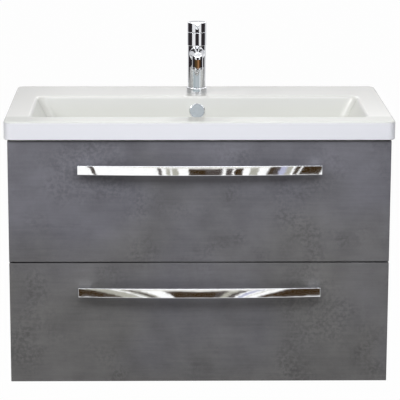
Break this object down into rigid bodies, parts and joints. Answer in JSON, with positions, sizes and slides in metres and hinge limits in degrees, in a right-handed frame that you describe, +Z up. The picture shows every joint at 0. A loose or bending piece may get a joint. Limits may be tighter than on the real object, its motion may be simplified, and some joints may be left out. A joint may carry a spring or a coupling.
{
  "type": "bathroom vanity cabinet",
  "caption": "Wall-hung vanity cabinet with stacked full-width drawers, a ceramic washbasin on top, arched bar handles and a single-lever mixer tap.",
  "frame": {"origin": "middle of the hanging rail's back face, on the wall plane and on the cabinet's centre line", "axes": "+X along the wall to the right seen from the front, +Y into the wall, +Z up"},
  "size_m": [0.815, 0.49, 0.7294],
  "materials": {
    "concrete_decor": "melamine board with a mottled grey concrete decor, matt",
    "carcass_board": "grey melamine board, matt",
    "drawer_board": "light grey melamine board, matt",
    "glazed_ceramic": "white gloss glaze",
    "chrome": "polished chrome plating",
    "plated_steel": "zinc-plated steel, satin",
    "brass": "machined brass",
    "nylon": "moulded nylon",
    "rubber": "black sealing rubber"
  },
  "bodies": {
    "cabinet": {"side_panel_left": "concrete_decor", "side_panel_right": "concrete_decor", "bottom_panel": "carcass_board", "hanging_rail": "drawer_board", "lower_back_rail": "drawer_board", "front_rail": "carcass_board", "hanger_left": "plated_steel", "hanger_right": "plated_steel", "washbasin": "glazed_ceramic", "overflow_cap": "chrome", "waste_body": "chrome", "waste_seal": "rubber", "waste_nut": "nylon", "tap_base": "chrome", "tap_body": "chrome", "tap_aerator": "chrome", "tap_collar": "chrome", "tap_fixing_stud": "brass", "tap_fixing_plate": "plated_steel", "tap_fixing_nut": "brass", "upper_runner_cabinet_left": "plated_steel", "upper_runner_cabinet_right": "plated_steel", "lower_runner_cabinet_left": "plated_steel", "lower_runner_cabinet_right": "plated_steel"},
    "upper_drawer": {"upper_front": "concrete_decor", "upper_handle": "chrome", "upper_handle_screw_left": "plated_steel", "upper_handle_screw_right": "plated_steel", "upper_floor": "drawer_board", "upper_siphon_guard": "drawer_board", "upper_back_left": "drawer_board", "upper_back_right": "drawer_board", "upper_side_left": "drawer_board", "upper_side_right": "drawer_board", "upper_front_bracket_left": "plated_steel", "upper_front_bracket_right": "plated_steel", "upper_runner_drawer_left": "plated_steel", "upper_runner_drawer_right": "plated_steel"},
    "upper_slides": {"upper_runner_middle_left": "plated_steel", "upper_runner_middle_right": "plated_steel"},
    "lower_drawer": {"lower_front": "concrete_decor", "lower_handle": "chrome", "lower_handle_screw_left": "plated_steel", "lower_handle_screw_right": "plated_steel", "lower_floor": "drawer_board", "lower_back": "drawer_board", "lower_side_left": "drawer_board", "lower_side_right": "drawer_board", "lower_front_bracket_left": "plated_steel", "lower_front_bracket_right": "plated_steel", "lower_runner_drawer_left": "plated_steel", "lower_runner_drawer_right": "plated_steel"},
    "lower_slides": {"lower_runner_middle_left": "plated_steel", "lower_runner_middle_right": "plated_steel"},
    "waste_plug": {"waste_plug": "chrome"},
    "tap_swivel": {"tap_cartridge_dome": "plated_steel"},
    "tap_lever": {"tap_lever_head": "chrome", "tap_lever_pin": "chrome"}
  },
  "joints": [
    {"name": "upper_drawer_slide", "type": "slide", "parent": "cabinet", "child": "upper_drawer", "axis": [0, -1, 0], "range_m": [0, 0.36]},
    {"name": "upper_slides_slide", "type": "slide", "parent": "cabinet", "child": "upper_slides", "axis": [0, -1, 0], "range_m": [0, 0.18]},
    {"name": "lower_drawer_slide", "type": "slide", "parent": "cabinet", "child": "lower_drawer", "axis": [0, -1, 0], "range_m": [0, 0.36]},
    {"name": "lower_slides_slide", "type": "slide", "parent": "cabinet", "child": "lower_slides", "axis": [0, -1, 0], "range_m": [0, 0.18]},
    {"name": "waste_plug_lift", "type": "slide", "parent": "cabinet", "child": "waste_plug", "axis": [0, 0, 1], "range_m": [0, 0.007]},
    {"name": "tap_swivel_turn", "type": "hinge", "parent": "cabinet", "child": "tap_swivel", "pos_m": [0, -0.088, 0.2256], "axis": [0, 0, 1], "range_deg": [-50, 50]},
    {"name": "tap_lever_lift", "type": "hinge", "parent": "tap_swivel", "child": "tap_lever", "pos_m": [0, -0.088, 0.2256], "axis": [-1, 0, 0], "range_deg": [0, 18]}
  ],
  "couplings": [
    {"joint": "upper_slides_slide", "follows": "upper_drawer_slide", "ratio": 0.5},
    {"joint": "lower_slides_slide", "follows": "lower_drawer_slide", "ratio": 0.5}
  ]
}
